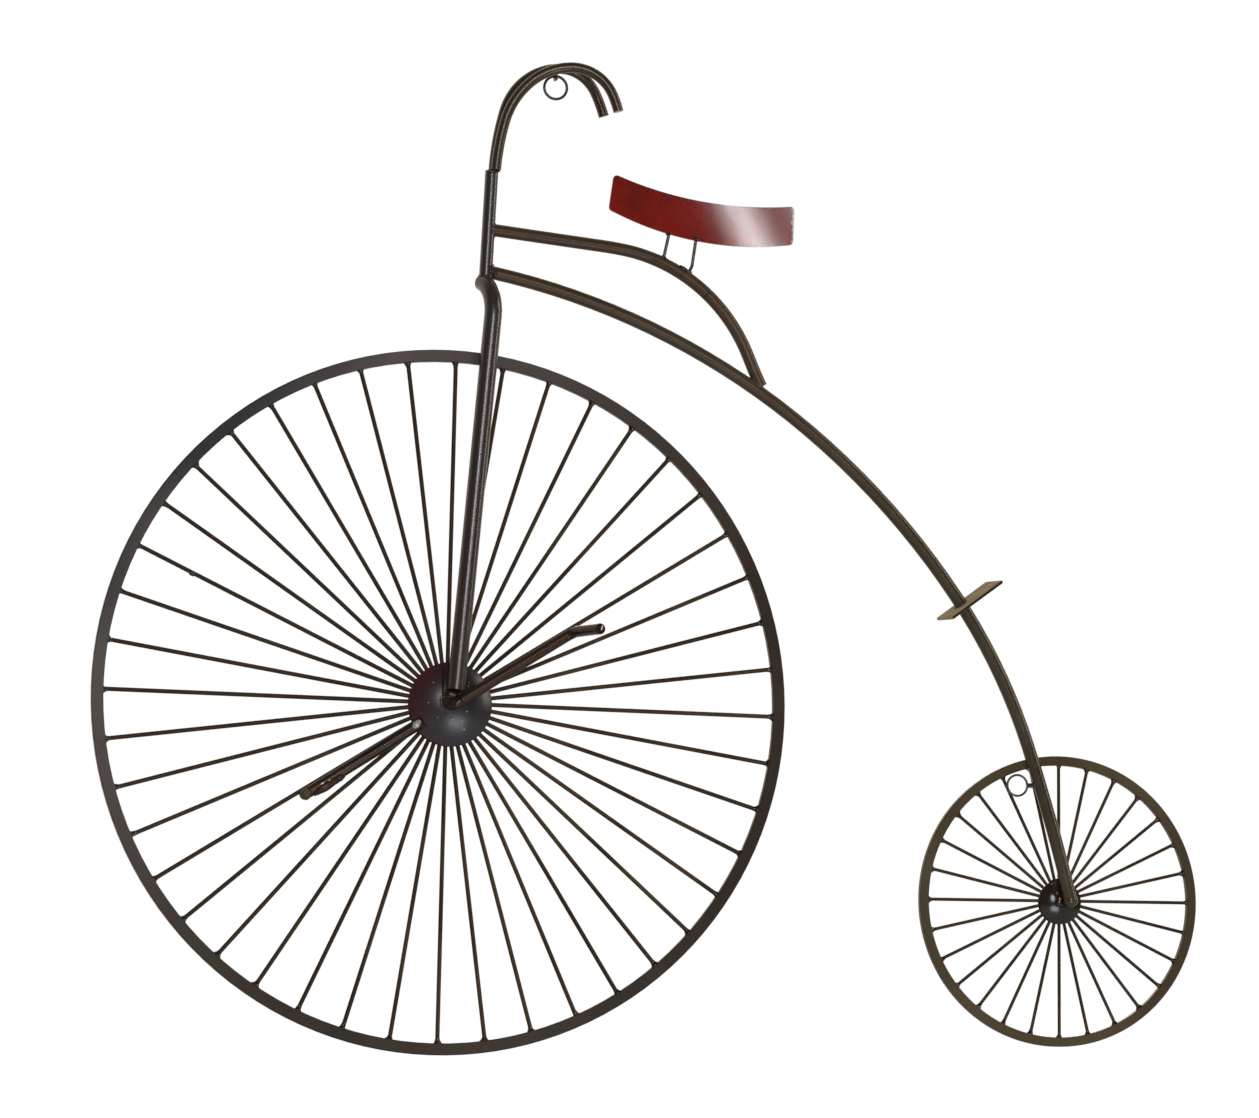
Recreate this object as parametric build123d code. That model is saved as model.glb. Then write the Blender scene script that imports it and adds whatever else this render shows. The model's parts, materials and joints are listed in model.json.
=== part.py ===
# Wall sculpture of a high-wheel bicycle, welded from round bar, flat bar and sheet steel.
# Millimetres. X runs right across the wall, Y points into the wall and Z is up.
# Sizes are set out from the front hub's centre, and every solid is moved to ORIGIN at the end.
import os
from math import cos, hypot, radians, sin, sqrt, tan

from build123d import *

os.makedirs("parts", exist_ok=True)

# Wheels: rim centre, outer radius, bar height and depth, hub drum, dome over it, spokes
# The dome's lip is what it covers beyond the drum
FRONT_WHEEL = dict(
    rim_x=-5.7, rim_z=2.5, rim_r=292.9, bar=9.9, depth=6.6,
    hub_x=-2.9, hub_z=0.3, drum_r=31.5, drum_half=3.0,
    dome_x=0.0, dome_z=-0.8, dome_lip=3.5, dome_h=11.0,
    spokes=44, spoke_r=1.8, first_deg=6.8,
)
REAR_WHEEL = dict(
    rim_x=528.3, rim_z=-159.5, rim_r=123.3, bar=7.9, depth=6.6,
    hub_x=529.2, hub_z=-159.3, drum_r=16.4, drum_half=2.5,
    dome_x=529.7, dome_z=-160.7, dome_lip=2.0, dome_h=6.5,
    spokes=28, spoke_r=1.4, first_deg=12.5,
)
RIM_CHAMFER = 0.7
DOME_SHEET = 1.6

# Tube and rod radii
HEAD_R = 5.6
FORK_R = 7.45
BACKBONE_R = 5.6
TOP_TUBE_R = 5.3
HANDLEBAR_R = 4.4
CRANK_R = 4.6
STRUT_R = 1.4

# Head tube, from its foot on the fork to the level cut that carries the handlebar
HEAD_FOOT_X, HEAD_FOOT_Z = 29.0, 355.0
HEAD_TOP_X, HEAD_TOP_Z = 34.5, 448.9
HEAD_CUT = 3.0

# Fork: x, y, z and bend radius of each corner, from the hub upwards
FORK = [
    (1.2, -18.5, 10.3, 0.0),
    (33.8, -18.5, 344.5, 33.0),
    (27.2, 2.2, 354.3, 0.0),
]

# Frame tubes lie in an upright plane that swings out from the head tube to pass the rear rim
FRAME_FOOT = (32.5, 0.0)
FRAME_SWING = -1.49

# Runs of bent tube: length along the tube and turn in degrees, where minus is downwards
BACKBONE_START, BACKBONE_HEADING = (0.0, 362.9), -10.5
BACKBONE_RUNS = [
    dict(length=306.4, turn=-28.4),
    dict(length=190.8, turn=-16.7),
    dict(length=139.8, turn=-16.3),
    dict(length=136.1, turn=-4.7),
]
BACKBONE_KNOB_R = 6.2
TOP_TUBE_START, TOP_TUBE_HEADING = (0.0, 398.9), -6.4
TOP_TUBE_RUNS = [
    dict(length=96.7, turn=0.2),
    dict(length=17.5, turn=-2.9),
    dict(length=146.5, turn=-59.3),
    dict(length=28.0, turn=4.0),
]

# Handlebar hooks: foot beside the head tube, swing out of the wall plane, runs as above
HOOK_NEAR = dict(foot=(37.5, -5.0), swing=-10.0, start=(-0.9, 447.2), heading=85.4, runs=[
    dict(length=43.6, turn=-10.9),
    dict(length=40.1, turn=-33.3),
    dict(length=36.3, turn=-38.3),
    dict(length=45.8, turn=-69.6),
    dict(length=15.2, turn=-9.0),
])
HOOK_FAR = dict(foot=(37.5, 5.0), swing=10.0, start=(-0.9, 447.2), heading=86.3, runs=[
    dict(length=55.2, turn=-13.3),
    dict(length=68.7, turn=-68.7),
    dict(length=40.4, turn=-67.8),
    dict(length=20.7, turn=-9.3),
])

# Cranks: x, y, z and bend radius of each corner, from the hub out to the pedal's end
CRANK_NEAR = [
    (-7.0, -8.0, 3.4, 0.0),
    (-3.0, -20.0, -4.2, 7.0),
    (100.6, -20.0, 59.9, 9.0),
    (110.3, -76.0, 58.0, 0.0),
]
CRANK_FAR = [
    (-22.5, -7.9, -15.0, 0.0),
    (-121.5, -7.9, -76.8, 5.0),
    (-122.0, -2.3, -77.0, 0.0),
]
PEDAL_END_ROUND = 1.0

# Ground facet on the far crank's inner end: a point on it and the way it faces
FACET_POINT = (-26.0, -10.0, -17.0)
FACET_WAY = (0.55, -0.8, 0.3)

# Saddle plate: edge points (x, z) of the upper and lower curve, bowed about an axis that leans left
SADDLE_UPPER = [(137.9, 449.5), (214.2, 429.6), (294.5, 427.1)]
SADDLE_LOWER = [(132.7, 418.5), (214.2, 394.8), (293.7, 394.6)]
SADDLE_SHEET = 1.6
SADDLE_BOW_R, SADDLE_LEAN = 400.0, 28.0
SADDLE_X, SADDLE_Y, SADDLE_Z = 207.0, -4.0, 422.0
SADDLE_CORNER_R = 3.5

# Saddle struts: x, z and bend radius of each corner, from the top tube up
STRUT_FRONT = [(180.3, 373.0, 0.0), (187.0, 402.5, 0.0)]
STRUT_REAR = [(200.6, 361.5, 0.0), (206.6, 374.0, 6.0), (210.2, 397.5, 0.0)]
STRUT_Y = -4.2

# Step plate across the backbone: lower corner, length, depth, sheet, slope and roll to the room
STEP_X, STEP_Y, STEP_Z = 425.7, -11.0, 78.4
STEP_LENGTH, STEP_DEPTH, STEP_SHEET = 55.6, 40.0, 2.4
STEP_SLOPE, STEP_ROLL = 35.8, 4.2
STEP_CORNER_R = 2.0
STEP_EDGE_R = 0.5

# Hanging ring on its loop under the wall-side hook
RING_X, RING_Y = 92.4, 14.6
RING_TOP_Z = 535.0
RING_R, RING_WIRE_R = 9.8, 1.2
RING_PLAY = 0.3
LOOP_WIRE_R, LOOP_HALF, LOOP_BEND_R = 1.3, 3.6, 2.0
LOOP_RISE = 5.0

# Fixed ring beside the rear rim
REAR_RING_X, REAR_RING_Y, REAR_RING_Z = 489.1, -11.6, -62.1
REAR_RING_R, REAR_RING_WIRE_R = 8.8, 0.95
REAR_LUG_R, REAR_LUG_LENGTH = 2.0, 8.0

# The origin is the ring's seat in its loop
ORIGIN = Vector(RING_X, RING_Y, RING_TOP_Z)

FACE_OUT = Rot(90, 0, 0)
FACE_WALL = Rot(-90, 0, 0)


def bend_path(corners):
    """Wire through corners of x, y, z and bend radius: straight runs and tangent arcs."""
    points = [Vector(*corner[:3]) for corner in corners]
    edges = []
    at = points[0]
    for before, corner, after, (*_, bend) in zip(points, points[1:], points[2:], corners[1:]):
        way_in = (corner - before).normalized()
        way_out = (after - corner).normalized()
        half = radians(way_in.get_angle(way_out)) / 2
        inward = (way_out - way_in).normalized()
        arc_in = corner - way_in * bend * tan(half)
        arc_mid = corner + inward * (bend / cos(half) - bend)
        arc_out = corner + way_out * bend * tan(half)
        edges.append(Edge.make_line(at, arc_in))
        edges.append(Edge.make_three_point_arc(arc_in, arc_mid, arc_out))
        at = arc_out
    edges.append(Edge.make_line(at, points[-1]))
    return Wire(edges)


def run_path(foot, swing, start, heading, runs):
    """Wire of arcs in an upright plane that swings about Z at the foot."""
    edges = []
    (u, z), way = start, radians(heading)

    def place(across, up):
        return Vector(foot[0] + across * cos(radians(swing)), foot[1] + across * sin(radians(swing)), up)

    def along(length, curve):
        turned = way + curve * length
        return u + (sin(turned) - sin(way)) / curve, z + (cos(way) - cos(turned)) / curve

    for run in runs:
        turn = radians(run["turn"])
        curve = turn / run["length"]
        middle, end = along(run["length"] / 2, curve), along(run["length"], curve)
        edges.append(Edge.make_three_point_arc(place(u, z), place(*middle), place(*end)))
        (u, z), way = end, way + turn
    return Wire(edges)


def rod(path, radius):
    """Round bar along a wire."""
    return sweep(Plane(path @ 0, z_dir=path % 0) * Circle(radius), path=path).solid()


def round_end(bar, path, radius):
    """Bar with the edge of its free end broken."""
    end_face = bar.faces().sort_by_distance(path @ 1)[0]
    return fillet(end_face.edges(), radius).solid()


def largest(shape):
    """The one solid that stays when a coped end leaves a chip."""
    return max(shape.solids(), key=lambda solid: solid.volume)


def rim(wheel):
    """Flat bar rolled into a ring."""
    ring = Cylinder(wheel["rim_r"], wheel["depth"]) - Cylinder(wheel["rim_r"] - wheel["bar"], wheel["depth"])
    ring = chamfer(ring.edges().filter_by(GeomType.CIRCLE), RIM_CHAMFER)
    return Pos(wheel["rim_x"], 0, wheel["rim_z"]) * FACE_OUT * ring


def spokes(wheel):
    """Straight spokes from the drum to the rim, which sits a little off the hub's centre."""
    off_x, off_z = wheel["rim_x"] - wheel["hub_x"], wheel["rim_z"] - wheel["hub_z"]
    inner_r = wheel["rim_r"] - wheel["bar"]
    pieces = []
    for index in range(wheel["spokes"]):
        angle = wheel["first_deg"] + 360 * index / wheel["spokes"]
        lean = off_x * cos(radians(angle)) + off_z * sin(radians(angle))
        reach = lean + sqrt(lean**2 + inner_r**2 - hypot(off_x, off_z) ** 2)
        length = reach - wheel["drum_r"]
        bar = Pos(wheel["drum_r"] + length / 2, 0, 0) * Rot(0, 90, 0) * Cylinder(wheel["spoke_r"], length)
        pieces.append(Pos(wheel["hub_x"], 0, wheel["hub_z"]) * Rot(0, -angle, 0) * bar)
    return Compound(children=[piece.solid() for piece in pieces])


def drum(wheel):
    """Short drum that the spokes end on."""
    return Pos(wheel["hub_x"], 0, wheel["hub_z"]) * FACE_OUT * Cylinder(wheel["drum_r"], 2 * wheel["drum_half"])


def cap(wheel, facing, sheet=0.0):
    """Dished cap on the drum's face: solid, or a shell when a sheet thickness is given."""
    dome_r = wheel["drum_r"] + wheel["dome_lip"]
    ball_r = (dome_r**2 + wheel["dome_h"] ** 2) / (2 * wheel["dome_h"])
    ball = Sphere(ball_r)
    if sheet:
        ball = ball - Sphere(ball_r - sheet)
    slab = Pos(0, 0, wheel["dome_h"] / 2) * Cylinder(ball_r, wheel["dome_h"])
    dish = slab & Pos(0, 0, wheel["dome_h"] - ball_r) * ball
    out = -wheel["drum_half"] if facing == FACE_OUT else wheel["drum_half"]
    return Pos(wheel["dome_x"], out, wheel["dome_z"]) * facing * dish


parts = {}

# Wheels
for name, wheel in (("front", FRONT_WHEEL), ("rear", REAR_WHEEL)):
    parts[f"{name}_rim"] = rim(wheel)
    parts[f"{name}_spokes"] = spokes(wheel)
    parts[f"{name}_hub_drum"] = drum(wheel)
    parts[f"{name}_hub_cap"] = cap(wheel, FACE_OUT, DOME_SHEET)
    parts[f"{name}_hub_back"] = cap(wheel, FACE_WALL, DOME_SHEET)
front_cap_fill = cap(FRONT_WHEEL, FACE_OUT)
rear_cap_fill = cap(REAR_WHEEL, FACE_OUT)

# Fork, bent back under the head tube and seated on the front cap
fork = rod(bend_path(FORK), FORK_R)
parts["front_fork"] = largest(fork - front_cap_fill)

# Head tube, coped on the fork and cut level on top
head_top = Plane.XY.offset(HEAD_TOP_Z)
head_path = bend_path([(HEAD_FOOT_X, 0, HEAD_FOOT_Z, 0), (HEAD_TOP_X, 0, HEAD_TOP_Z + HEAD_CUT, 0)])
head = split(rod(head_path, HEAD_R), bisect_by=head_top, keep=Keep.BOTTOM)
parts["head_tube"] = largest(head - fork)

# Backbone with its rounded knob on the rear cap
backbone_path = run_path(FRAME_FOOT, FRAME_SWING, BACKBONE_START, BACKBONE_HEADING, BACKBONE_RUNS)
backbone = rod(backbone_path, BACKBONE_R) + Pos(*(backbone_path @ 1)) * Sphere(BACKBONE_KNOB_R)
parts["backbone"] = largest(backbone - head - fork - rear_cap_fill)

# Top tube between head tube and backbone
top_tube_path = run_path(FRAME_FOOT, FRAME_SWING, TOP_TUBE_START, TOP_TUBE_HEADING, TOP_TUBE_RUNS)
top_tube = rod(top_tube_path, TOP_TUBE_R)
parts["top_tube"] = largest(top_tube - head - backbone)

# Handlebar hooks on the head tube's level top
for name, hook in (("handlebar_near", HOOK_NEAR), ("handlebar_far", HOOK_FAR)):
    hook_path = run_path(**hook)
    parts[name] = largest(split(rod(hook_path, HANDLEBAR_R), bisect_by=head_top, keep=Keep.TOP))

# Near crank, bent into the cap
near_path = bend_path(CRANK_NEAR)
crank_near = round_end(rod(near_path, CRANK_R), near_path, PEDAL_END_ROUND)
parts["crank_near"] = largest(crank_near - front_cap_fill)

# Far crank, let into the cap's edge with a ground facet on its inner end
crank_far = rod(bend_path(CRANK_FAR), CRANK_R)
facet = Plane(FACET_POINT, z_dir=FACET_WAY)
parts["crank_far"] = largest(split(crank_far, bisect_by=facet, keep=Keep.BOTTOM))
parts["front_hub_cap"] = largest(parts["front_hub_cap"] - crank_far)

# Saddle plate: the curved outline cut from a bowed sheet
upper = Edge.make_three_point_arc(*[(x, 0, z) for x, z in SADDLE_UPPER])
lower = Edge.make_three_point_arc(*[(x, 0, z) for x, z in SADDLE_LOWER])
nose = Edge.make_line(lower @ 0, upper @ 0)
tail = Edge.make_line(upper @ 1, lower @ 1)
outline = extrude(Face(Wire([upper, tail, lower, nose])), amount=SADDLE_BOW_R, dir=(0, 1, 0), both=True)
outline = fillet(outline.edges().filter_by(Axis.Y), SADDLE_CORNER_R)
bow = Cylinder(SADDLE_BOW_R, SADDLE_BOW_R) - Cylinder(SADDLE_BOW_R - SADDLE_SHEET, SADDLE_BOW_R)
bow_place = Pos(SADDLE_X, SADDLE_Y + SADDLE_SHEET / 2 - SADDLE_BOW_R, SADDLE_Z)
sheets = outline & bow_place * Rot(0, -SADDLE_LEAN, 0) * bow
parts["saddle_plate"] = sheets.solids().sort_by(Axis.Y)[-1]

# Saddle struts, coped on the top tube and slotted over the plate's lower edge
for name, corners in (("saddle_strut_front", STRUT_FRONT), ("saddle_strut_rear", STRUT_REAR)):
    strut = rod(bend_path([(x, STRUT_Y, z, bend) for x, z, bend in corners]), STRUT_R)
    parts[name] = largest(strut - top_tube - parts["saddle_plate"])

# Step plate that the backbone passes through
step = Pos(STEP_LENGTH / 2, 0, 0) * Box(STEP_LENGTH, STEP_DEPTH, STEP_SHEET)
step = fillet(step.edges().filter_by(Axis.Z), STEP_CORNER_R)
step = fillet(step.faces().filter_by(Axis.Z).edges(), STEP_EDGE_R)
step = Pos(STEP_X, STEP_Y, STEP_Z) * Rot(0, -STEP_SLOPE, 0) * Rot(STEP_ROLL, 0, 0) * step
parts["step_plate"] = largest(step - backbone)

# Loop under the wall-side hook, and the ring that hangs in it
seat_z = RING_TOP_Z - RING_WIRE_R - RING_PLAY - LOOP_WIRE_R
loop_corners = [
    (RING_X, RING_Y - LOOP_HALF, RING_TOP_Z + LOOP_RISE, 0.0),
    (RING_X, RING_Y - LOOP_HALF, seat_z, LOOP_BEND_R),
    (RING_X, RING_Y + LOOP_HALF, seat_z, LOOP_BEND_R),
    (RING_X, RING_Y + LOOP_HALF, RING_TOP_Z + LOOP_RISE, 0.0),
]
parts["hanger_loop"] = largest(rod(bend_path(loop_corners), LOOP_WIRE_R) - parts["handlebar_far"])
parts["hanger_ring"] = Pos(RING_X, RING_Y, RING_TOP_Z - RING_R) * FACE_OUT * Torus(RING_R, RING_WIRE_R)

# Fixed ring with its lug on the backbone
lug_x = REAR_RING_X + REAR_RING_R + REAR_LUG_LENGTH / 2
lug = Pos(lug_x, REAR_RING_Y, REAR_RING_Z) * Rot(0, 90, 0) * Cylinder(REAR_LUG_R, REAR_LUG_LENGTH)
fixed_ring = Pos(REAR_RING_X, REAR_RING_Y, REAR_RING_Z) * FACE_OUT * Torus(REAR_RING_R, REAR_RING_WIRE_R)
parts["hanger_ring_rear"] = largest(fixed_ring + lug - backbone)

# Every solid goes to the shared frame and to its own file
for name, shape in parts.items():
    export_step(shape.moved(Pos(*(-ORIGIN))), f"parts/{name}.step")
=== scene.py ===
import json
import random
from collections import namedtuple
from math import cos, pi, radians, sin

import bpy
import numpy as np
from mathutils import Matrix, Vector
from mathutils.bvhtree import BVHTree


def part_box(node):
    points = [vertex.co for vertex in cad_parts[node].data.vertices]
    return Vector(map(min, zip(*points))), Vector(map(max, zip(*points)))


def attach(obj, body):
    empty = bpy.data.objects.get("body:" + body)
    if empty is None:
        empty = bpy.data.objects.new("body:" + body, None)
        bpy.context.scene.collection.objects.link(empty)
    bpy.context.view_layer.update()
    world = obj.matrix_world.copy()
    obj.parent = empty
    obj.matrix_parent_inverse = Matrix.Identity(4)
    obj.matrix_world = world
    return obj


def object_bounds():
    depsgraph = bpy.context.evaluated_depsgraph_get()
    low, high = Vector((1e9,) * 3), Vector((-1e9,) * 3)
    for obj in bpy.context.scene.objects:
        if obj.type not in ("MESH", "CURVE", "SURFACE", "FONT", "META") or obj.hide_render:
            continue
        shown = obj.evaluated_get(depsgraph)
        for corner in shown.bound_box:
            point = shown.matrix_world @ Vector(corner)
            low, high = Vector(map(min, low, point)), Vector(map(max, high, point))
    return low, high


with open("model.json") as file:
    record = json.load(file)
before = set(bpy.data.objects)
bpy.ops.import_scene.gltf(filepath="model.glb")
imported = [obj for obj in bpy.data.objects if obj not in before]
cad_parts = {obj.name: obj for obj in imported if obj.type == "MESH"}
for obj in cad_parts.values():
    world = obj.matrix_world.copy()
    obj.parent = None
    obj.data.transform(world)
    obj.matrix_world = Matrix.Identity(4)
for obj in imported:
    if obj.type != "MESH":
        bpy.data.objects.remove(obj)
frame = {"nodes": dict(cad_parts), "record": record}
CAD_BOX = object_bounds()
nodes = frame["nodes"]

# Camera: the photograph's width in pixels and the view that its two wheels give
PHOTO_WIDTH = 1259
FOCAL_PX = 5000
SENSOR_MM = 36
CAMERA_PLACE = (-0.9273, -4.0680, -0.8347)
CAMERA_TURN_DEG = -13.7
CAMERA_RISE_DEG = 5.8

# Directions in which paints change
UP_LEFT = (-0.7, 0.0, 0.7)
LEFT = (-1.0, 0.0, 0.0)
RIGHT = (1.0, 0.0, 0.0)

# Patch of a paint: scale, detail, roughness and offset of its noise, and where it begins and is full.
# With a way, it is measured by how far a point lies that way plus a share of the noise.
Patch = namedtuple("Patch", "scale detail rough offset begins full way share", defaults=[None, 1.0])

# Waves of a paint: scale, detail, roughness and offset of their noise, strength and depth
Waves = namedtuple("Waves", "scale detail rough offset strength depth")

# Bronze paint by stock: two browns, the tone that they turn to at the upper left and at its far end,
# tint and level of the gloss, roughness from and to, and the gloss of faces that look sideways.
# The upper-left tone is a painted sheen where it is cooler than the browns, and paler as well on the bar;
# on the arc and the spine it is the paint's own redder tone.
Bronze = namedtuple("Bronze", "dark light upper_left tint gloss rough far side_gloss", defaults=[None, None])
WARM = (1.0, 0.84, 0.70, 1.0)
PALE = (1.0, 0.93, 0.88, 1.0)
LILAC = (1.0, 0.94, 1.0, 1.0)
BRONZES = {
    "tube": Bronze(
        dark=(0.024, 0.015, 0.009), light=(0.036, 0.023, 0.015), upper_left=(0.024, 0.018, 0.016),
        tint=LILAC, gloss=0.75, rough=(0.22, 0.28)),
    "arc": Bronze(
        dark=(0.038, 0.020, 0.011), light=(0.054, 0.031, 0.018), upper_left=(0.036, 0.021, 0.013),
        tint=WARM, gloss=0.40, rough=(0.30, 0.38)),
    "spine": Bronze(
        dark=(0.026, 0.020, 0.011), light=(0.042, 0.033, 0.020), upper_left=(0.040, 0.020, 0.010),
        tint=WARM, gloss=0.50, rough=(0.19, 0.38)),
    "hook": Bronze(
        dark=(0.026, 0.017, 0.009), light=(0.038, 0.025, 0.014), upper_left=(0.026, 0.018, 0.012),
        tint=WARM, gloss=0.58, rough=(0.23, 0.29)),
    "crank": Bronze(
        dark=(0.014, 0.007, 0.004), light=(0.030, 0.014, 0.009), upper_left=(0.014, 0.008, 0.006),
        tint=WARM, gloss=0.28, rough=(0.24, 0.30), side_gloss=0.07),
    "bar": Bronze(
        dark=(0.022, 0.015, 0.010), light=(0.034, 0.024, 0.016), upper_left=(0.068, 0.055, 0.050),
        tint=PALE, gloss=0.16, rough=(0.32, 0.40), far=(0.010, 0.011, 0.015)),
    "rear_bar": Bronze(
        dark=(0.046, 0.033, 0.017), light=(0.064, 0.048, 0.027), upper_left=(0.064, 0.048, 0.027),
        tint=WARM, gloss=0.22, rough=(0.38, 0.48)),
    "wire": Bronze(
        dark=(0.022, 0.011, 0.004), light=(0.044, 0.026, 0.012), upper_left=(0.024, 0.014, 0.008),
        tint=WARM, gloss=0.20, rough=(0.42, 0.55)),
    "weld": Bronze(
        dark=(0.007, 0.005, 0.004), light=(0.014, 0.010, 0.008), upper_left=(0.010, 0.009, 0.009),
        tint=WARM, gloss=0.55, rough=(0.16, 0.28)),
}
STOCK = {
    "front_rim": "bar", "rear_rim": "rear_bar", "front_spokes": "wire", "rear_spokes": "wire",
    "crank_near": "crank", "crank_far": "crank", "top_tube": "arc", "backbone": "spine",
    "handlebar_near": "hook", "handlebar_far": "hook",
}
BRONZE_SHADE = Patch(14.0, 3.0, 0.50, 0.0, 0.40, 0.62)
# where the upper-left tone comes in, a painted sheen on most stocks
BRONZE_UPPER_LEFT_TONE_AND_SHEEN = Patch(7.0, 3.0, 0.50, 4.0, -0.25, 0.08, UP_LEFT, 0.25)
BRONZE_FAR = Patch(9.0, 3.0, 0.50, 6.0, -0.02, 0.03, UP_LEFT, 0.10)
BRONZE_RUBBED = Patch(24.0, 5.0, 0.65, 9.0, 0.60, 0.74)
BRONZE_ROUGH = Patch(40.0, 4.0, 0.60, 2.0, -0.40, 0.60, UP_LEFT, 1.0)
BRONZE_WAVES = Waves(34.0, 2.0, 0.50, 0.0, 0.04, 0.0010)
RUBBED_RED = (0.050, 0.015, 0.010)
RUBBED_SHARE = 0.5
SIDEWAYS = (0.20, 0.60)

# Hub caps: ground colour, a second colour on the left side that is a painted reflection and where it lies,
# roughness from and to
CAPS = {
    "front": (
        (0.014, 0.012, 0.015), (0.060, 0.008, 0.008),
        Patch(30.0, 3.0, 0.55, 1.0, 0.152, 0.182, LEFT, 0.1), (0.26, 0.34)),
    "rear": (
        (0.007, 0.005, 0.004), (0.020, 0.014, 0.009),
        Patch(30.0, 3.0, 0.55, 1.0, -0.400, -0.360, LEFT, 0.1), (0.14, 0.22)),
}
CAP_SPECKS = Patch(420.0, 3.0, 0.60, 0.0, 0.68, 0.74)
CAP_ROUGH = Patch(90.0, 4.0, 0.60, 2.0, 0.30, 0.70)
CAP_WAVES = Waves(60.0, 3.0, 0.55, 0.0, 0.12, 0.0008)
SPECK_TONE = (0.16, 0.14, 0.13)
SPECK_SHARE = 0.4

# Saddle: red enamel, browned in patches, dark on its edges and chipped at its right end
SADDLE_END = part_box("saddle_plate")[1][0]
SADDLE_STIPPLE = Patch(700.0, 2.0, 0.50, 0.0, 0.35, 0.70)
SADDLE_BROWNED = Patch(26.0, 5.0, 0.65, 3.0, 0.42, 0.66)
SADDLE_CHIPS = Patch(260.0, 3.0, 0.60, 0.0, SADDLE_END + 0.0015, SADDLE_END + 0.0035, RIGHT, 0.008)
SADDLE_SHEEN = Patch(700.0, 2.0, 0.50, 0.0, 0.30, 0.70)
SADDLE_WAVES = Waves(70.0, 3.0, 0.55, 0.0, 0.10, 0.0006)
SADDLE_GRAIN = Waves(900.0, 2.0, 0.50, 5.0, 0.20, 0.0002)
SADDLE_REDS = ((0.150, 0.004, 0.001), (0.185, 0.006, 0.002))
SADDLE_BROWN = (0.078, 0.005, 0.003)
SADDLE_DARK = (0.016, 0.003, 0.002)
SADDLE_CHIP = (0.55, 0.46, 0.44)
SADDLE_SHARE = 0.8
SADDLE_EDGE = (0.6, 0.3)
SADDLE_ROUGH = (0.11, 0.17)
SADDLE_GLOSS = 1.0

# Step plate: tan, but for the edge that faces the room
STEP_WORN = Patch(40.0, 4.0, 0.60, 0.0, 0.35, 0.65)
STEP_SHEEN = Patch(120.0, 4.0, 0.55, 0.0, 0.30, 0.70)
STEP_WAVES = Waves(60.0, 3.0, 0.55, 0.0, 0.10, 0.0006)
STEP_TANS = ((0.250, 0.192, 0.110), (0.375, 0.295, 0.178))
STEP_DARK = (0.030, 0.020, 0.010)
STEP_EDGE = (0.45, 0.75)
STEP_ROUGH = (0.55, 0.70)
STEP_GLOSS = 0.0

# Bare metal
METAL_DULL = Patch(300.0, 3.0, 0.55, 0.0, 0.35, 0.65)
METAL_SHEEN = Patch(400.0, 4.0, 0.55, 0.0, 0.30, 0.70)
METAL_GREYS = ((0.34, 0.33, 0.30), (0.52, 0.51, 0.47))
METAL_ROUGH = (0.25, 0.45)
METAL_SHARE = 0.6

# Wheels, as they are in the part: number of spokes, angle of the first, spoke radius
SPOKES = {"front": (44, 6.8, 0.0018), "rear": (28, 12.5, 0.0014)}

# Flares, the welds at the spokes' rim ends: reach and spread from and to, how they sit on spoke and rim,
# how fast they narrow, and how uneven they are
FLARE_REACH = (0.0035, 0.006)
FLARE_SPREAD = (0.0010, 0.0032)
FLARE_STEPS = 6
FLARE_SINK = 0.0003
FLARE_FIT = 1.03
FLARE_DEPTH = 0.6
FLARE_POWER = 2.2
FLARE_LEAN = 0.35
FLARE_UNEVEN = 0.06

# Weld beads: radius of each seam's bead, by the piece that ends there and the piece that it is welded to
SEAMS = [
    ("top_tube", "head_tube", 0.0010),
    ("backbone", "head_tube", 0.0016),
    ("head_tube", "front_fork", 0.0014),
    ("top_tube", "backbone", 0.0012),
    ("front_fork", "front_hub_cap", 0.0018),
    ("crank_near", "front_hub_cap", 0.0015),
    ("crank_far", "front_hub_cap", 0.0010),
    ("backbone", "rear_hub_cap", 0.0012),
    ("saddle_strut_front", "top_tube", 0.0012),
    ("saddle_strut_rear", "top_tube", 0.0014),
    ("hanger_ring_rear", "backbone", 0.0011),
    ("hanger_loop", "handlebar_far", 0.0009),
]
SEAM_GAP = 0.0002
SEAM_POINTS = 56
SEAM_WINDOW = 2.5
RIPPLE_PITCH = 0.0024
RIPPLE_LOW = 0.78
RIPPLE_RISE = 0.32
RIPPLE_UNEVEN = 0.08
WELD_RISE = 0.8

# Weld lumps: the piece that carries one, its X and Z, half its length, half its width, lean of its length
LUMPS = [
    ("front_hub_cap", -0.1010, -0.5165, 0.0140, 0.0011, 88),
    ("front_hub_cap", -0.0935, -0.5290, 0.0080, 0.0060, -20),
    ("crank_near", -0.0965, -0.5330, 0.0060, 0.0035, 40),
    ("top_tube", 0.1080, -0.1615, 0.0050, 0.0022, -38),
    ("top_tube", 0.0860, -0.1520, 0.0035, 0.0014, -25),
    ("top_tube", 0.0925, -0.1545, 0.0030, 0.0013, -28),
    ("top_tube", 0.0830, -0.1600, 0.0060, 0.0008, -25),
    ("top_tube", 0.0930, -0.1655, 0.0050, 0.0009, -30),
    ("top_tube", 0.1020, -0.1710, 0.0045, 0.0008, -34),
    ("top_tube", 0.1251, -0.1870, 0.0050, 0.0009, 52),
    ("saddle_strut_front", 0.0924, -0.1340, 0.0026, 0.0016, -14),
    ("saddle_strut_rear", 0.1180, -0.1385, 0.0026, 0.0016, -12),
    ("head_tube", -0.0575, -0.0870, 0.0060, 0.0020, 4),
    ("head_tube", -0.0560, -0.0855, 0.0040, 0.0018, 12),
    ("backbone", -0.0590, -0.1715, 0.0040, 0.0018, 80),
    ("backbone", -0.0570, -0.1770, 0.0030, 0.0016, 60),
    ("rear_hub_cap", 0.4335, -0.6809, 0.0100, 0.0040, 78),
    ("rear_hub_cap", 0.4345, -0.6945, 0.0060, 0.0045, 80),
    ("rear_hub_cap", 0.4290, -0.6745, 0.0045, 0.0032, 30),
    ("front_rim", -0.3216, -0.3511, 0.0044, 0.0006, -39),
    ("front_spokes", -0.3090, -0.4323, 0.0030, 0.0022, -26),
]
LUMP_GIRTH = (0.85, 1.1)
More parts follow.
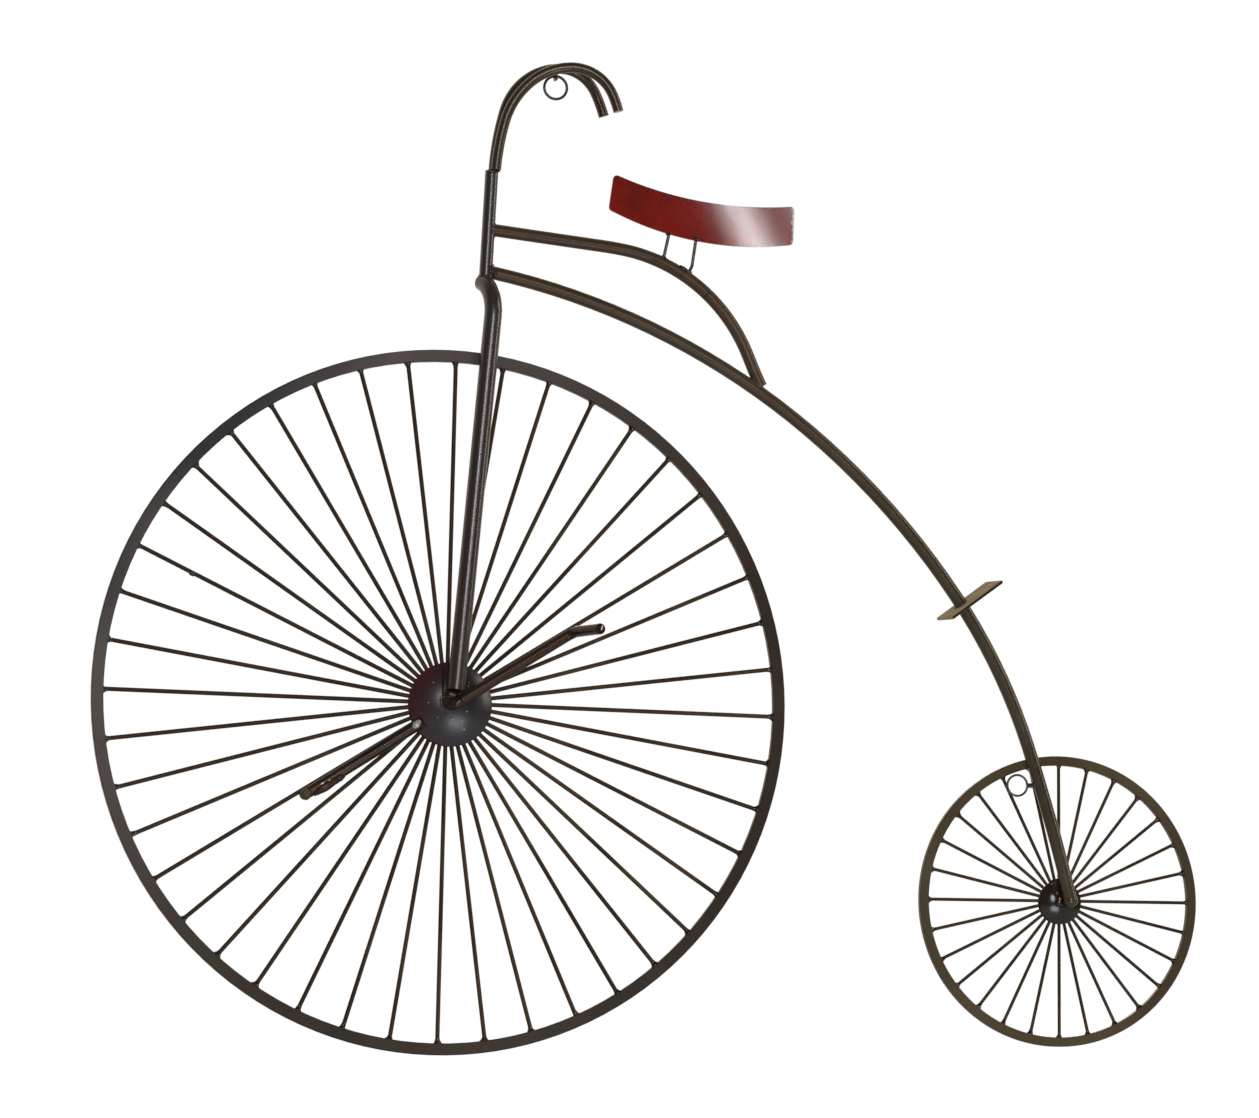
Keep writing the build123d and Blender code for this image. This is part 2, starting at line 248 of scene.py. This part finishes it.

# The same on the cranks: paint that ran to the far one's lower side, the blob on its tip, chips of bare
# metal:
# one at the far crank's root, the others pale specks that are painted glints on the far crank's end and the
# pedal's end face
CRANK_RUNS = [
    ("crank_far", -0.1960, -0.6070, 0.0150, 0.0042, 32),
    ("crank_far", -0.1865, -0.6005, 0.0060, 0.0032, 32),
]
CRANK_TIP = [("crank_far", -0.2160, -0.6130, 0.0046, 0.0052, 15)]
CRANK_CHIPS_AND_GLINTS = [
    ("crank_far", -0.1230, -0.5535, 0.0048, 0.0030, 50),
    # painted glints: pale specks on the far crank's end and on the pedal's end face
    ("crank_far", -0.2015, -0.6035, 0.0022, 0.0011, 32),
    ("crank_far", -0.1955, -0.6010, 0.0013, 0.0012, 0),
    ("crank_near", 0.0192, -0.4761, 0.0026, 0.0009, 75),
]

# Drops of bare metal spattered on the front cap
SPATTER_COUNT = 14
SPATTER_REACH = 0.026
SPATTER_R = (0.0004, 0.0008)
SPATTER_STEPS = 5
SPATTER_SIDES = 6

# Surroundings: what the camera sees, the light on matt paint, and what gloss shows in front and behind
WHITE = (1.0, 1.0, 1.0)
ROOM_LIGHT = (0.60, 0.59, 0.58)
ROOM_GLOSS = (0.055, 0.050, 0.047)
LEFT_WALL_GLOSS = (1.0, 0.89, 0.70)
RIGHT_WALL_GLOSS = (1.0, 0.90, 0.74)
LEFT_TO_RIGHT = (-0.1, 0.7)
ROOM_TO_WALL = (-0.15, 0.45)

# Stage: pale floor below the sculpture, fading to white at its edge
FLOOR_DROP = 0.35
FLOOR_R = 2.4
FLOOR_SIDES = 96
FLOOR_TONE = (0.55, 0.54, 0.53, 1.0)
FLOOR_ROUGH = 0.7
FLOOR_FADE = (0.45 * FLOOR_R, 0.98 * FLOOR_R)

# Lamps: a narrow one in front, a tall strip to its left, a tall one at the right, light off the floor,
# and one behind for the back
LAMPS = {
    "key": dict(place=(0.60, -4.00, 0.07), aim=(0.10, 0.0, -0.30), width=0.30, height=0.65, watts=8.5),
    "strip": dict(place=(-0.35, -3.00, 0.20), aim=(-0.08, 0.0, -0.40), width=0.5, height=1.0, watts=22.0),
    "side": dict(
        place=(2.50, -0.90, 0.60), aim=(0.0, 0.0, -0.30), width=0.35, height=2.0, watts=20.0,
        colour=(1.0, 0.93, 0.82)),
    "bounce": dict(
        place=(0.25, -1.00, -1.08), aim=(-0.09, 0.0, -0.53), width=0.5, height=0.35, watts=3.6,
        colour=(0.84, 0.90, 1.0)),
    "rear": dict(place=(0.80, 2.20, 0.60), aim=(0.10, 0.0, -0.40), width=1.0, height=1.0, watts=14.0),
}

rng = random.Random(7)


def surface(name):
    """Search tree over a node's mesh."""
    mesh = nodes[name].data
    return BVHTree.FromPolygons([v.co for v in mesh.vertices], [p.vertices for p in mesh.polygons])


class Paint:
    """One material, with short calls for the nodes that the paints share."""

    def __init__(self, name):
        self.material = bpy.data.materials.new(name)
        self.material.use_nodes = True
        self.tree = self.material.node_tree
        self.shader = self.tree.nodes["Principled BSDF"]
        self.place = self.add("ShaderNodeTexCoord").outputs["Object"]

    def add(self, kind, **inputs):
        node = self.tree.nodes.new(kind)
        for name, value in inputs.items():
            self.set(node.inputs[name.replace("_", " ")], value)
        return node

    def set(self, socket, value):
        if isinstance(value, bpy.types.NodeSocket):
            self.tree.links.new(value, socket)
        else:
            socket.default_value = value

    def noise(self, scale, detail, rough, offset):
        shifted = self.add("ShaderNodeMapping", Vector=self.place, Location=(offset, 0.37 * offset, 0.0))
        node = self.add("ShaderNodeTexNoise", Scale=scale, Detail=detail, Roughness=rough)
        self.set(node.inputs["Vector"], shifted.outputs["Vector"])
        return node.outputs["Fac"]

    def along(self, direction, share, value):
        """How far a point lies in a direction, plus a share of another value."""
        reach = self.add("ShaderNodeVectorMath")
        reach.operation = "DOT_PRODUCT"
        self.set(reach.inputs[0], self.place)
        self.set(reach.inputs[1], direction)
        total = self.add("ShaderNodeMath")
        total.operation = "MULTIPLY_ADD"
        for socket, term in zip(total.inputs, (value, share, reach.outputs["Value"])):
            self.set(socket, term)
        return total.outputs["Value"]

    def span(self, value, low, high, to_low=0.0, to_high=1.0):
        node = self.add("ShaderNodeMapRange")
        for name, number in (("From Min", low), ("From Max", high), ("To Min", to_low), ("To Max", to_high)):
            node.inputs[name].default_value = number
        self.set(node.inputs["Value"], value)
        return node.outputs["Result"]

    def patch(self, patch, low=0.0, high=1.0):
        """Value that goes from low to high where a patch begins and is full."""
        value = self.noise(patch.scale, patch.detail, patch.rough, patch.offset)
        if patch.way:
            value = self.along(patch.way, patch.share, value)
        return self.span(value, patch.begins, patch.full, low, high)

    def mix(self, share, first, second):
        node = self.add("ShaderNodeMix")
        node.data_type = "RGBA"
        self.set(node.inputs["Factor"], share)
        for socket, colour in ((node.inputs[6], first), (node.inputs[7], second)):
            self.set(socket, (*colour, 1.0) if isinstance(colour, tuple) else colour)
        return node.outputs[2]

    def facing(self):
        """How squarely a face looks at the room or the wall, from 0 to 1."""
        split = self.add("ShaderNodeSeparateXYZ", Vector=self.add("ShaderNodeNewGeometry").outputs["Normal"])
        size = self.add("ShaderNodeMath")
        size.operation = "ABSOLUTE"
        self.set(size.inputs[0], split.outputs["Y"])
        return size.outputs["Value"]

    def bump(self, waves, normal=None):
        height = self.noise(waves.scale, waves.detail, waves.rough, waves.offset)
        node = self.add("ShaderNodeBump", Height=height, Strength=waves.strength, Distance=waves.depth)
        if normal:
            self.set(node.inputs["Normal"], normal)
        return node.outputs["Normal"]

    def finish(self, **sockets):
        for name, value in sockets.items():
            self.set(self.shader.inputs[name.replace("_", " ")], value)
        return self.material


def bronze_paint(stock):
    """Dark bronze paint that changes to the upper left, mostly to a painted cool sheen and on the arc and
    spine to a redder tone, with red rubbed through in places.
    """
    bronze = BRONZES[stock]
    paint = Paint(f"bronze_paint_{stock}")
    colour = paint.mix(paint.patch(BRONZE_SHADE), bronze.dark, bronze.light)
    # painted sheen: cooler towards the upper left, and paler there on the bar
    colour = paint.mix(paint.patch(BRONZE_UPPER_LEFT_TONE_AND_SHEEN), colour, bronze.upper_left)
    colour = paint.mix(paint.patch(BRONZE_FAR), colour, bronze.far or bronze.upper_left)
    colour = paint.mix(paint.patch(BRONZE_RUBBED, high=RUBBED_SHARE), colour, RUBBED_RED)
    gloss = bronze.gloss
    if bronze.side_gloss:
        gloss = paint.span(paint.facing(), *SIDEWAYS, bronze.side_gloss, gloss)
    paint.finish(Specular_IOR_Level=gloss, Specular_Tint=bronze.tint)
    rough = paint.patch(BRONZE_ROUGH, *bronze.rough)
    return paint.finish(Base_Color=colour, Roughness=rough, Normal=paint.bump(BRONZE_WAVES))


def cap_paint(wheel):
    """Hub cap paint: a dark ground with a painted reflection in a second colour on its left side, and fine
    specks.
    """
    ground, painted_reflection, where, rough = CAPS[wheel]
    paint = Paint(f"cap_paint_{wheel}")
    # painted reflection: the second colour on the cap's left side
    colour = paint.mix(paint.patch(where), ground, painted_reflection)
    colour = paint.mix(paint.patch(CAP_SPECKS, high=SPECK_SHARE), colour, SPECK_TONE)
    rough = paint.patch(CAP_ROUGH, *rough)
    return paint.finish(Base_Color=colour, Roughness=rough, Normal=paint.bump(CAP_WAVES))


def red_enamel():
    """Finely stippled red enamel of the saddle."""
    paint = Paint("red_enamel")
    colour = paint.mix(paint.patch(SADDLE_STIPPLE), *SADDLE_REDS)
    colour = paint.mix(paint.patch(SADDLE_BROWNED, high=SADDLE_SHARE), colour, SADDLE_BROWN)
    colour = paint.mix(paint.span(paint.facing(), *SADDLE_EDGE), colour, SADDLE_DARK)
    colour = paint.mix(paint.patch(SADDLE_CHIPS, high=SADDLE_SHARE), colour, SADDLE_CHIP)
    rough = paint.patch(SADDLE_SHEEN, *SADDLE_ROUGH)
    normal = paint.bump(SADDLE_GRAIN, paint.bump(SADDLE_WAVES))
    return paint.finish(Base_Color=colour, Roughness=rough, Normal=normal, Specular_IOR_Level=SADDLE_GLOSS)


def tan_paint():
    """Bronze paint of the step, rubbed down to a tan undercoat."""
    paint = Paint("tan_paint")
    colour = paint.mix(paint.patch(STEP_WORN), *STEP_TANS)
    colour = paint.mix(paint.span(paint.facing(), *STEP_EDGE), colour, STEP_DARK)
    rough = paint.patch(STEP_SHEEN, *STEP_ROUGH)
    normal = paint.bump(STEP_WAVES)
    return paint.finish(Base_Color=colour, Roughness=rough, Normal=normal, Specular_IOR_Level=STEP_GLOSS)


def bare_metal():
    """Bare metal of chips and weld drops, and of the pale specks that are painted glints, dulled in patches.
    """
    paint = Paint("bare_metal")
    colour = paint.mix(paint.patch(METAL_DULL), *METAL_GREYS)
    return paint.finish(
        Base_Color=colour, Roughness=paint.patch(METAL_SHEEN, *METAL_ROUGH), Metallic=METAL_SHARE)


bronzes = {stock: bronze_paint(stock) for stock in BRONZES}
caps = {wheel: cap_paint(wheel) for wheel in CAPS}
paints = {"bronze_paint": bronzes["tube"], "red_enamel": red_enamel(), "tan_paint": tan_paint()}
for part in frame["record"]["subparts"]:
    node, slot = part["node"], part["material_slot"]
    if node in STOCK:
        material = bronzes[STOCK[node]]
    elif slot == "cap_paint":
        material = caps[node.split("_")[0]]
    else:
        material = paints[slot]
    for holder in nodes[node].material_slots:
        holder.material = material


class Form:
    """Mesh that grows ring by ring, and becomes one piece that rides on the frame body."""

    def __init__(self):
        self.points = []
        self.faces = []

    def sweep(self, rings, closed=False):
        """Skins rings of equal count; open ends are closed by a face."""
        first, count = len(self.points), len(rings[0])
        for ring in rings:
            self.points.extend(ring)
        pairs = list(zip(range(len(rings)), range(1, len(rings))))
        if closed:
            pairs.append((len(rings) - 1, 0))
        for low, high in pairs:
            near, far = first + low * count, first + high * count
            for k in range(count):
                after = (k + 1) % count
                self.faces.append((near + k, near + after, far + after, far + k))
        if not closed:
            self.faces.append(tuple(first + k for k in reversed(range(count))))
            self.faces.append(tuple(first + (len(rings) - 1) * count + k for k in range(count)))

    def piece(self, name, slot, material):
        mesh = bpy.data.meshes.new(name)
        mesh.from_pydata(self.points, [], self.faces)
        mesh.validate()
        mesh.polygons.foreach_set("use_smooth", [True] * len(mesh.polygons))
        mesh.materials.append(material)
        piece = bpy.data.objects.new(name, mesh)
        bpy.context.scene.collection.objects.link(piece)
        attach(piece, "frame")


def seam_ring(branch, target):
    """Even ring of points where the cut end of one node lies on another, with the other's normals."""
    tree = surface(target)
    touching = [v.co for v in nodes[branch].data.vertices if tree.find_nearest(v.co)[3] < SEAM_GAP]
    cloud = np.array(touching)
    middle = cloud.mean(axis=0)
    flat = (cloud - middle) @ np.linalg.svd(cloud - middle)[2][:2].T
    angle, reach = np.arctan2(flat[:, 1], flat[:, 0]), np.hypot(flat[:, 0], flat[:, 1])
    ring = []
    for k in range(SEAM_POINTS):
        away = np.abs((angle - 2 * pi * k / SEAM_POINTS + pi) % (2 * pi) - pi)
        near = np.flatnonzero(away < SEAM_WINDOW * pi / SEAM_POINTS)
        pick = near[reach[near].argmax()] if len(near) else away.argmin()
        ring.append(Vector(cloud[pick]))
    smooth = [(ring[k - 1] + ring[k] * 2 + ring[(k + 1) % SEAM_POINTS]) / 4 for k in range(SEAM_POINTS)]
    return smooth, [tree.find_nearest(point)[1] for point in smooth]


def bead(form, ring, normals, radius, sides=8):
    """Rippled weld bead round a closed ring of points."""
    turn = [2 * pi * j / sides for j in range(sides)]
    rings, travelled = [], 0.0
    for k, (point, normal) in enumerate(zip(ring, normals)):
        before, after = ring[k - 1], ring[(k + 1) % len(ring)]
        along = (after - before).normalized()
        across = along.cross(normal).normalized()
        travelled += (point - before).length
        ripple = RIPPLE_RISE * abs(sin(pi * travelled / RIPPLE_PITCH))
        swell = radius * (RIPPLE_LOW + ripple + rng.uniform(-RIPPLE_UNEVEN, RIPPLE_UNEVEN))
        rings.append([point + swell * (cos(a) * across + WELD_RISE * sin(a) * normal) for a in turn])
    form.sweep(rings, closed=True)


def flare(form, foot, inward, spoke_r, reach, spread, sides=10):
    """Weld that widens a spoke's end where it meets the rim."""
    level = Vector((0, 1, 0))
    across = inward.cross(level).normalized()
    lean = rng.uniform(-FLARE_LEAN, FLARE_LEAN)
    rings = []
    for step in range(FLARE_STEPS):
        share = step / (FLARE_STEPS - 1)
        rise = foot + inward * (reach * share - FLARE_SINK)
        swell = spread * (1 - share) ** FLARE_POWER
        wide = spoke_r * FLARE_FIT + swell
        deep = spoke_r * FLARE_FIT + FLARE_DEPTH * swell
        ring = []
        for j in range(sides):
            a = 2 * pi * j / sides
            uneven = 1 + lean * cos(a) * (1 - share) + rng.uniform(-FLARE_UNEVEN, FLARE_UNEVEN)
            ring.append(rise + wide * uneven * cos(a) * across + deep * sin(a) * level)
        rings.append(ring)
    form.sweep(rings)


def wheel_welds(wheel):
    """Welds at the rim end of every spoke of one wheel."""
    count, first_deg, spoke_r = SPOKES[wheel]
    low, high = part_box(f"{wheel}_hub_drum")
    hub = (low + high) / 2
    rim = surface(f"{wheel}_rim")
    form = Form()
    for k in range(count):
        angle = radians(first_deg + 360 * k / count)
        outward = Vector((cos(angle), 0, sin(angle)))
        foot = rim.ray_cast(hub, outward)[0]
        flare(form, foot, -outward, spoke_r, rng.uniform(*FLARE_REACH), rng.uniform(*FLARE_SPREAD))
    form.piece(f"{wheel}_rim_welds", "bronze_paint", bronzes["weld"])


def lump(form, carrier, x, z, half_length, half_width, lean_deg, steps=9, sides=10):
    """Uneven drop of metal or paint, sunk by half into the piece that carries it."""
    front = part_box(carrier)[0][1]
    point, normal = surface(carrier).find_nearest(Vector((x, front, z)))[:2]
    lean = Vector((cos(radians(lean_deg)), 0, sin(radians(lean_deg))))
    along = (lean - lean.dot(normal) * normal).normalized()
    across = along.cross(normal)
    turn = [2 * pi * j / sides for j in range(sides)]
    rings = []
    for step in range(steps):
        share = 2 * (step + 0.5) / steps - 1
        girth = half_width * (1 - share * share) ** 0.5 * rng.uniform(*LUMP_GIRTH)
        middle = point + along * (half_length * share)
        rings.append([middle + girth * (cos(a) * across + WELD_RISE * sin(a) * normal) for a in turn])
    form.sweep(rings)


def lump_piece(name, rows, material):
    """One piece made of a table's lumps."""
    form = Form()
    for row in rows:
        lump(form, *row)
    form.piece(name, "bronze_paint", material)


for wheel in SPOKES:
    wheel_welds(wheel)

tube_welds = Form()
for branch, target, radius in SEAMS:
    bead(tube_welds, *seam_ring(branch, target), radius)
tube_welds.piece("tube_welds", "bronze_paint", bronzes["tube"])

lump_piece("weld_lumps", LUMPS, bronzes["weld"])
lump_piece("crank_runs", CRANK_RUNS, bronzes["crank"])
lump_piece("crank_tip", CRANK_TIP, bronzes["rear_bar"])

drops_chips_and_glints = Form()
low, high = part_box("front_hub_cap")
for _ in range(SPATTER_COUNT):
    reach = SPATTER_REACH * rng.random() ** 0.5
    angle = rng.uniform(0, 2 * pi)
    drop_r = rng.uniform(*SPATTER_R)
    x = (low[0] + high[0]) / 2 + reach * cos(angle)
    z = (low[2] + high[2]) / 2 + reach * sin(angle)
    lump(drops_chips_and_glints, "front_hub_cap", x, z, drop_r, drop_r, 0, SPATTER_STEPS, SPATTER_SIDES)
# the crank chips, most of them painted glints, join the drops
for row in CRANK_CHIPS_AND_GLINTS:
    lump(drops_chips_and_glints, *row)
drops_chips_and_glints.piece("cap_drops_chips_and_glints", "tan_paint", bare_metal())

low, high = CAD_BOX
bpy.ops.mesh.primitive_circle_add(
    vertices=FLOOR_SIDES, radius=FLOOR_R, fill_type="NGON",
    location=((low[0] + high[0]) / 2, 0, low[2] - FLOOR_DROP),
)
floor = bpy.context.object
floor.name = "floor"


def floor_finish():
    """Pale matt floor whose edge is as white as the background."""
    paint = Paint("floor_paint")
    tree = paint.tree
    paint.finish(Base_Color=FLOOR_TONE, Roughness=FLOOR_ROUGH)
    reach = paint.add("ShaderNodeVectorMath", Vector=paint.place)
    reach.operation = "LENGTH"
    edge = paint.span(reach.outputs["Value"], *FLOOR_FADE)
    seen = paint.add("ShaderNodeMath")
    seen.operation = "MULTIPLY"
    tree.links.new(edge, seen.inputs[0])
    tree.links.new(paint.add("ShaderNodeLightPath").outputs["Is Camera Ray"], seen.inputs[1])
    white = paint.add("ShaderNodeEmission", Strength=1.0)
    join = paint.add("ShaderNodeMixShader", Fac=seen.outputs["Value"])
    tree.links.new(paint.shader.outputs["BSDF"], join.inputs[1])
    tree.links.new(white.outputs["Emission"], join.inputs[2])
    tree.links.new(join.outputs["Shader"], tree.nodes["Material Output"].inputs["Surface"])
    return paint.material


floor.data.materials.append(floor_finish())


def sky():
    """White to the camera, soft grey as light, and for gloss a dim room in front and a beige wall behind."""
    world = bpy.data.worlds.new("studio")
    bpy.context.scene.world = world
    world.use_nodes = True
    tree = world.node_tree

    def blend(share, first, second):
        node = tree.nodes.new("ShaderNodeMix")
        node.data_type = "RGBA"
        tree.links.new(share, node.inputs["Factor"])
        for socket, colour in ((node.inputs[6], first), (node.inputs[7], second)):
            if isinstance(colour, tuple):
                socket.default_value = (*colour, 1.0)
            else:
                tree.links.new(colour, socket)
        return node.outputs[2]

    split = tree.nodes.new("ShaderNodeSeparateXYZ")
    tree.links.new(tree.nodes.new("ShaderNodeTexCoord").outputs["Generated"], split.inputs[0])

    def ramp(axis, low, high):
        node = tree.nodes.new("ShaderNodeMapRange")
        node.interpolation_type = "SMOOTHSTEP"
        node.inputs["From Min"].default_value = low
        node.inputs["From Max"].default_value = high
        tree.links.new(split.outputs[axis], node.inputs["Value"])
        return node.outputs["Result"]

    light = tree.nodes.new("ShaderNodeLightPath")
    wall = blend(ramp("X", *LEFT_TO_RIGHT), LEFT_WALL_GLOSS, RIGHT_WALL_GLOSS)
    gloss = blend(ramp("Y", *ROOM_TO_WALL), ROOM_GLOSS, wall)
    unseen = blend(light.outputs["Is Glossy Ray"], ROOM_LIGHT, gloss)
    back = tree.nodes["Background"]
    tree.links.new(blend(light.outputs["Is Camera Ray"], unseen, WHITE), back.inputs["Color"])


sky()


def softbox(name, place, aim, width, height, watts, colour=WHITE):
    """Soft rectangular lamp that looks at a point."""
    lamp = bpy.data.lights.new(name, "AREA")
    lamp.shape = "RECTANGLE"
    lamp.size, lamp.size_y = width, height
    lamp.energy = watts
    lamp.color = colour
    holder = bpy.data.objects.new(name, lamp)
    look = (Vector(aim) - Vector(place)).to_track_quat("-Z", "Y").to_matrix().to_4x4()
    holder.matrix_world = Matrix.Translation(place) @ look
    holder.visible_camera = False
    bpy.context.scene.collection.objects.link(holder)


for name, lamp in LAMPS.items():
    softbox(name, **lamp)

camera = bpy.data.objects.new("camera", bpy.data.cameras.new("camera"))
camera.location = CAMERA_PLACE
camera.rotation_euler = (radians(90 + CAMERA_RISE_DEG), 0, radians(CAMERA_TURN_DEG))
camera.data.sensor_width = SENSOR_MM
camera.data.lens = SENSOR_MM * FOCAL_PX / PHOTO_WIDTH
bpy.context.scene.collection.objects.link(camera)
bpy.context.scene.camera = camera
bpy.context.scene.view_settings.view_transform = "Standard"
